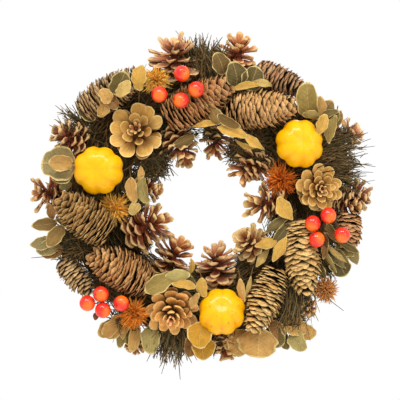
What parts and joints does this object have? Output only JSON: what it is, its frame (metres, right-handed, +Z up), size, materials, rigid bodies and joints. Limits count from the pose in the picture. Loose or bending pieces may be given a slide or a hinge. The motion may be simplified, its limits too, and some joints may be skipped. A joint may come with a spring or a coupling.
{
  "type": "door wreath",
  "caption": "Round harvest door wreath of cones, gourds, berries, thistle heads and dried leaves on a twig ring and wire frame, with a swinging hanging loop.",
  "frame": {"origin": "the hanging point: where the door hook bears on the inside of the hanging loop", "axes": "+Z up as the wreath hangs; the decorated front faces -Y; +Y is towards the door; +X is to the right seen from the front"},
  "size_m": [0.3528, 0.0953, 0.3301],
  "materials": {
    "frame_wire": "dark green paint, satin",
    "binding_wire": "dull bronzed wire",
    "loop_wire": "bright soft wire",
    "twigs": "rough bark, matte",
    "gourd_skin": "smooth lacquered skin, satin gloss",
    "berry_stem": "paper-wrapped wire, matte",
    "berry_skin": "lacquered, high gloss",
    "thistle": "dyed bristles, matte",
    "rosette_cone": "dry cone scales, matte",
    "spruce_cone": "dry cone scales, matte",
    "pine_cone": "dry cone scales, matte",
    "dried_leaf": "dried leaf, matte"
  },
  "bodies": {
    "wreath": {"berry_left_1": "berry_skin", "berry_left_2": "berry_skin", "berry_left_3": "berry_skin", "berry_left_4": "berry_skin", "berry_right_1": "berry_skin", "berry_right_2": "berry_skin", "berry_right_3": "berry_skin", "berry_right_4": "berry_skin", "berry_stem_left": "berry_stem", "berry_stem_right": "berry_stem", "berry_stem_top": "berry_stem", "berry_top_1": "berry_skin", "berry_top_2": "berry_skin", "berry_top_3": "berry_skin", "berry_top_4": "berry_skin", "binding_wire": "binding_wire", "gourd_bottom": "gourd_skin", "gourd_left": "gourd_skin", "gourd_right": "gourd_skin", "leaf_spray_bottom_left": "dried_leaf", "leaf_spray_left": "dried_leaf", "leaf_spray_lower_left": "dried_leaf", "leaf_spray_lower_right": "dried_leaf", "leaf_spray_right": "dried_leaf", "leaf_spray_top": "dried_leaf", "leaf_spray_upper_right": "dried_leaf", "pine_cone_inner_11_oclock": "pine_cone", "pine_cone_inner_12_oclock": "pine_cone", "pine_cone_inner_2_oclock": "pine_cone", "pine_cone_inner_3_oclock": "pine_cone", "pine_cone_inner_4_oclock": "pine_cone", "pine_cone_inner_6_oclock": "pine_cone", "pine_cone_inner_7_oclock": "pine_cone", "pine_cone_inner_8_oclock": "pine_cone", "pine_cone_rim_left": "pine_cone", "pine_cone_rim_left_upper": "pine_cone", "pine_cone_rim_right": "pine_cone", "pine_cone_rim_right_upper": "pine_cone", "pine_cone_rim_top_left": "pine_cone", "pine_cone_rim_top_right": "pine_cone", "rosette_cone_bottom": "rosette_cone", "rosette_cone_right": "rosette_cone", "rosette_cone_upper_left": "rosette_cone", "spruce_cone_left": "spruce_cone", "spruce_cone_lower_left": "spruce_cone", "spruce_cone_lower_right": "spruce_cone", "spruce_cone_right": "spruce_cone", "spruce_cone_rim_lower_left": "spruce_cone", "spruce_cone_rim_upper_left": "spruce_cone", "spruce_cone_rim_upper_right": "spruce_cone", "spruce_cone_top": "spruce_cone", "spruce_cone_upper_right": "spruce_cone", "thistle_left": "thistle", "thistle_lower_left": "thistle", "thistle_lower_right": "thistle", "thistle_right": "thistle", "thistle_top": "thistle", "twig_bundle": "twigs", "wire_frame": "frame_wire"},
    "loop": {"hanging_loop": "loop_wire"}
  },
  "joints": [
    {"name": "loop_swing", "type": "hinge", "parent": "wreath", "child": "loop", "pos_m": [0, 0.0015, -0.0248], "axis": [-1, 0, 0], "range_deg": [0, 145]}
  ]
}
